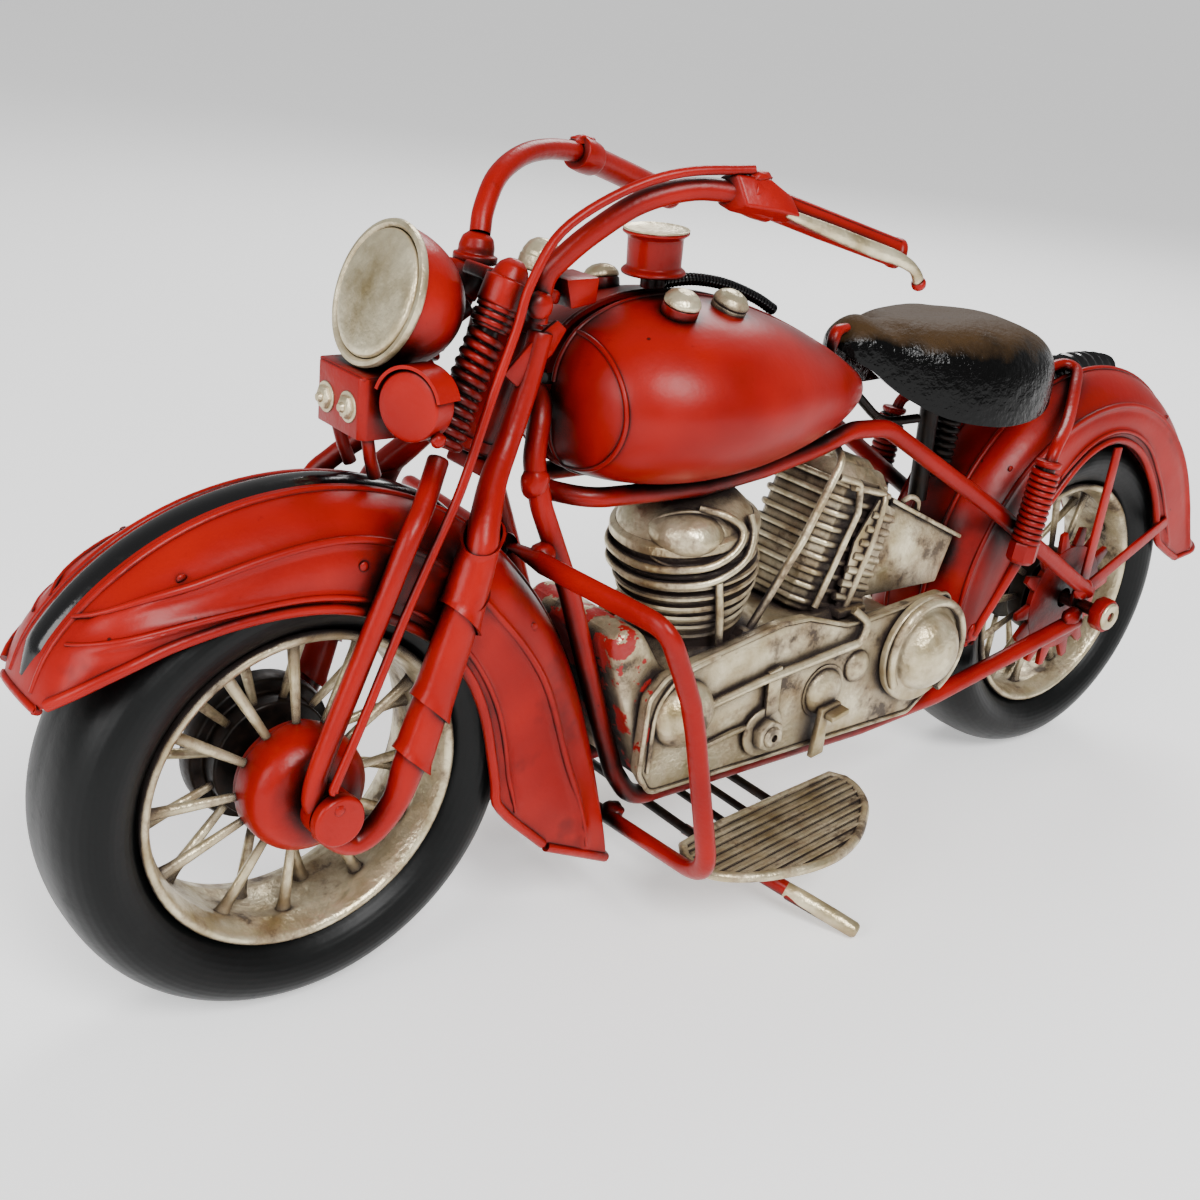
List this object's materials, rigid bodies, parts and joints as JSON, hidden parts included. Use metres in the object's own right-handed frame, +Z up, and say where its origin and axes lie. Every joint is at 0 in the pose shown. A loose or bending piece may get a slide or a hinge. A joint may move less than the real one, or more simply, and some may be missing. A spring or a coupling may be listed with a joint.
{
  "type": "hand-made tin motorcycle",
  "caption": "Vintage-style tin motorcycle with springer fork, turning wheels and handlebars, teardrop tank, V-twin engine, crash bar and folding side stand.",
  "frame": {"origin": "centre of the machine's box, on the ground", "axes": "+X forwards to the headlight, +Y to the rider's left, +Z up"},
  "size_m": [0.2916, 0.0864, 0.1366],
  "materials": {
    "red_enamel": "satin, worn at the edges",
    "silver_paint": "antiqued satin",
    "lens_paint": "satin",
    "black_lacquer": "gloss",
    "tyre_black": "matte",
    "dark_steel": "satin"
  },
  "bodies": {
    "chassis": {"steering_head": "red_enamel", "cradle_frame": "red_enamel", "backbone_tube": "dark_steel", "seat_stays": "red_enamel", "fuel_tank_left": "red_enamel", "fuel_tank_right": "red_enamel", "fuel_cap_left": "silver_paint", "fuel_cap_right": "silver_paint", "speedometer_drum": "red_enamel", "speedometer_hose": "black_lacquer", "saddle": "black_lacquer", "saddle_post": "dark_steel", "crankcase": "silver_paint", "primary_cover": "silver_paint", "clutch_cover": "silver_paint", "sprocket_nut": "silver_paint", "front_cylinder": "silver_paint", "rear_cylinder": "silver_paint", "intake_box": "silver_paint", "crash_bar": "red_enamel", "footboard_left": "silver_paint", "footboard_right": "silver_paint", "footboard_bar_front": "dark_steel", "footboard_bar_rear": "dark_steel", "rear_fender": "red_enamel", "fender_stay_left": "red_enamel", "fender_stay_right": "red_enamel", "rear_shock_left": "red_enamel", "rear_shock_right": "red_enamel", "rear_axle": "red_enamel", "exhaust_pipe": "silver_paint"},
    "steering": {"fork_top_yoke": "red_enamel", "fork_lower_yoke": "red_enamel", "stem_nut": "silver_paint", "fork_leg_left": "red_enamel", "fork_leg_right": "red_enamel", "fork_spring_left": "red_enamel", "fork_spring_right": "red_enamel", "headlight_shell": "red_enamel", "headlight_lens": "lens_paint", "horn_bracket": "red_enamel", "horn_drum": "red_enamel", "front_fender": "red_enamel", "front_fender_trim": "black_lacquer", "handlebar_left": "red_enamel", "handlebar_right": "red_enamel", "grip_left": "red_enamel", "grip_right": "red_enamel", "brake_lever": "silver_paint", "brake_cable": "red_enamel", "front_axle": "red_enamel"},
    "front_wheel": {"front_tyre": "tyre_black", "front_rim_with_spokes": "silver_paint", "front_hub": "red_enamel", "front_brake_drum": "dark_steel"},
    "rear_wheel": {"rear_tyre": "tyre_black", "rear_rim_with_spokes": "silver_paint", "rear_hub": "dark_steel", "rear_sprocket": "red_enamel"},
    "stand": {"side_stand": "red_enamel"}
  },
  "joints": [
    {"name": "steering_turn", "type": "hinge", "parent": "chassis", "child": "steering", "pos_m": [0.06157, -0.00257, 0.121], "axis": [-0.2924, 0, 0.9563], "range_deg": [-30, 30]},
    {"name": "front_wheel_spin", "type": "hinge", "parent": "steering", "child": "front_wheel", "pos_m": [0.10487, -0.00257, 0.039], "axis": [0, 1, 0], "continuous": true},
    {"name": "rear_wheel_spin", "type": "hinge", "parent": "chassis", "child": "rear_wheel", "pos_m": [-0.09013, -0.00257, 0.039], "axis": [0, 1, 0], "continuous": true},
    {"name": "stand_fold", "type": "hinge", "parent": "chassis", "child": "stand", "pos_m": [0.02497, 0.01423, 0.0114], "axis": [0.0141, 0.3444, 0.9387], "range_deg": [0, 52]}
  ]
}
